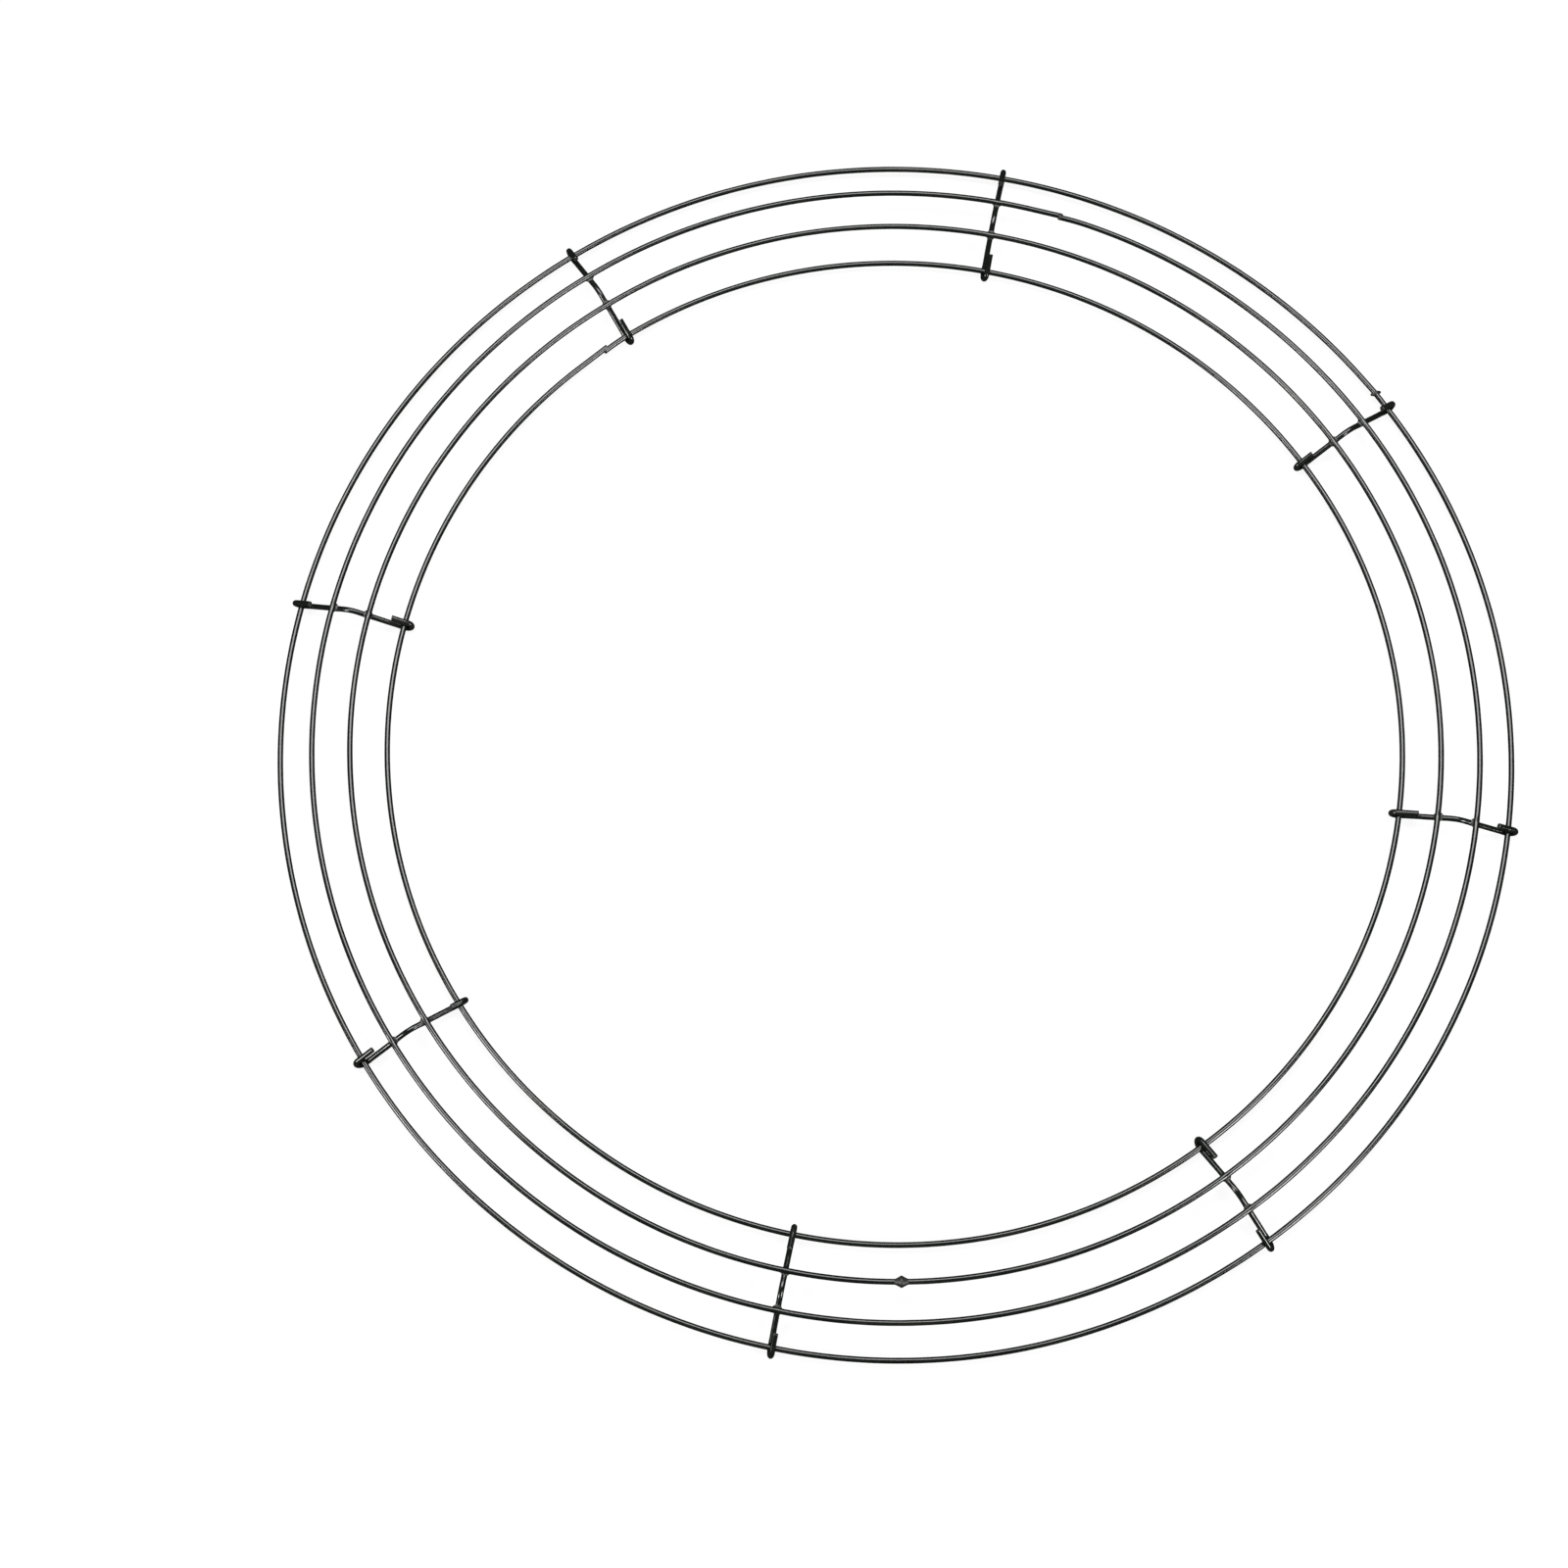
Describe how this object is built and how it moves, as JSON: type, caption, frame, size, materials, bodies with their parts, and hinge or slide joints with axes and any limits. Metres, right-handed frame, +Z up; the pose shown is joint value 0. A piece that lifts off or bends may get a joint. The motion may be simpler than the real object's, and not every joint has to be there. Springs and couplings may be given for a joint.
{
  "type": "wreath frame",
  "caption": "Round raised wire frame for making wreaths: concentric rings on ridged crossbars with hooked ends.",
  "frame": {"origin": "common centre of the rings, level with the underside of the hooks the frame rests on", "axes": "+Z up through the rings' centre towards the ridged side; +X and +Y lie in the rings' plane, midway between crossbars"},
  "size_m": [0.5022, 0.5022, 0.0119],
  "materials": {
    "ring_wire": "satin dark green-black enamel",
    "crossbar_wire": "satin dark green-black enamel",
    "weld_metal": "rough weld metal under dark green-black enamel"
  },
  "bodies": {
    "root": {"outer_ring": "ring_wire", "second_ring": "ring_wire", "third_ring": "ring_wire", "inner_ring": "ring_wire", "outer_ring_closure_weld": "weld_metal", "second_ring_closure_weld": "weld_metal", "third_ring_closure_weld": "weld_metal", "inner_ring_closure_weld": "weld_metal", "crossbar_1": "crossbar_wire", "crossbar_2": "crossbar_wire", "crossbar_3": "crossbar_wire", "crossbar_4": "crossbar_wire", "crossbar_5": "crossbar_wire", "crossbar_6": "crossbar_wire", "crossbar_7": "crossbar_wire", "crossbar_8": "crossbar_wire", "second_ring_spot_welds": "weld_metal", "third_ring_spot_welds": "weld_metal"}
  },
  "joints": []
}
